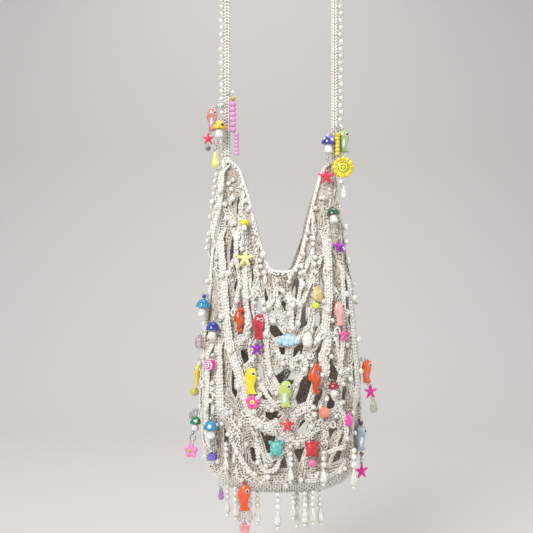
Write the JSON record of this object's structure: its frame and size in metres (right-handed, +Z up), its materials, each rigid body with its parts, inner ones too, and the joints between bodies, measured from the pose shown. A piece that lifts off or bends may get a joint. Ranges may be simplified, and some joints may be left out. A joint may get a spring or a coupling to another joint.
{
  "type": "crochet mini bag",
  "caption": "Small tall net bag of crocheted cotton with two side peaks, a looped shoulder strap with pearls, and hanging ceramic, glass and pearl charms.",
  "frame": {"origin": "inside of the strap's top, where the strap hangs on a hook, hand or shoulder", "axes": "+Z up along the bag's height, +X to the right of the front, +Y from the front to the back"},
  "size_m": [0.1589, 0.1122, 0.5411],
  "materials": {
    "ivory_yarn": "matt crocheted cotton yarn",
    "pearl": "pearl lustre",
    "shell": "matt natural shell",
    "clear_glass": "clear tinted glass",
    "glaze_yellow": "glossy ceramic glaze",
    "glaze_green": "glossy ceramic glaze",
    "glaze_red": "glossy ceramic glaze",
    "glaze_teal": "glossy ceramic glaze",
    "glaze_cobalt": "glossy ceramic glaze",
    "glaze_orange": "glossy ceramic glaze",
    "glaze_pink": "glossy ceramic glaze",
    "glaze_sky": "glossy ceramic glaze",
    "glaze_magenta": "glossy ceramic glaze",
    "glaze_lime": "glossy ceramic glaze",
    "glaze_grey": "glossy ceramic glaze",
    "silver": "polished silver-coloured wire"
  },
  "bodies": {
    "root": {"net_body": "ivory_yarn", "strap": "ivory_yarn", "strap_pearls": "pearl", "mushroom_yellow": "glaze_yellow", "mushroom_green": "glaze_green", "drop_red": "glaze_red", "mushroom_teal": "glaze_teal", "mushroom_cobalt": "glaze_cobalt", "bead_fluted": "clear_glass", "seahorse_left": "glaze_orange", "fish_red": "glaze_red", "shell_tan": "shell", "fish_pink": "glaze_pink", "cloud_blue": "glaze_sky", "shell_white": "shell", "bead_swirl": "glaze_magenta", "fish_yellow_side": "glaze_yellow", "fish_yellow": "glaze_yellow", "fish_lime": "glaze_lime", "seahorse_right": "glaze_orange", "mushroom_red": "glaze_red", "bead_salmon": "glaze_pink", "fish_orange": "glaze_orange", "drop_pink": "glaze_magenta", "mushroom_emerald": "glaze_green", "mushroom_aqua": "glaze_teal", "turtle_turquoise": "glaze_teal", "turtle_red": "glaze_red", "fish_grey": "glaze_grey", "tassel_front_1": "pearl", "tassel_front_2": "pearl", "tassel_front_3": "pearl", "tassel_front_4": "pearl", "starfish_back": "glaze_magenta", "fish_back": "glaze_orange", "mushroom_back": "glaze_cobalt", "fish_iridescent": "glaze_pink", "mushroom_strap_yellow": "glaze_yellow", "bead_row_pink": "glaze_pink", "mushroom_strap_cobalt": "glaze_cobalt", "fish_green": "clear_glass", "bead_row_yellow": "glaze_yellow", "fish_base": "glaze_orange", "crystal_lilac": "clear_glass", "tassel_1": "pearl", "tassel_2": "pearl", "tassel_3": "pearl", "tassel_4": "pearl", "tassel_5": "pearl", "tassel_6": "pearl", "tassel_7": "pearl", "tassel_8": "pearl", "tassel_9": "pearl", "tassel_10": "pearl", "tassel_11": "pearl", "tassel_12": "pearl"}
  },
  "joints": []
}
